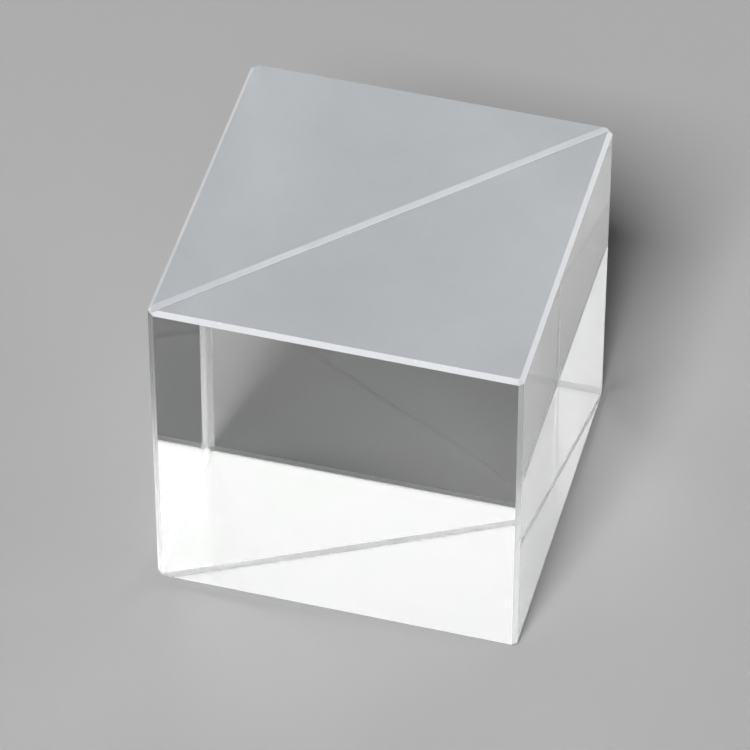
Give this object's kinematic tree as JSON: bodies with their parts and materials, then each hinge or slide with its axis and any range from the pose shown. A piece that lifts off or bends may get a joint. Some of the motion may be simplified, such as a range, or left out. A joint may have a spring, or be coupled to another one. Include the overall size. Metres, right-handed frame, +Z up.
{
  "type": "beamsplitter cube",
  "caption": "Glass cube of right-angle prisms cemented at a half-reflecting diagonal, with polished upright faces, ground top and bottom and bevelled edges; it splits or joins light beams.",
  "frame": {"origin": "centre of the bottom ground face", "axes": "+Z up, square to the ground faces; +X and -Y out of the coated prism's polished faces, -X and +Y out of the plain prism's; the joint runs from the -X -Y edge to the +X +Y edge"},
  "size_m": [0.0254, 0.0254, 0.0254],
  "materials": {
    "optical_glass": "clear crown glass: polished upright faces, fine-ground top, bottom and bevels",
    "half_mirror_film": "half-reflecting, half-transmitting thin film",
    "optical_cement": "clear, cured"
  },
  "bodies": {
    "root": {"coated_prism": "optical_glass", "beamsplitter_coating": "half_mirror_film", "cement_layer": "optical_cement", "plain_prism": "optical_glass"}
  },
  "joints": []
}
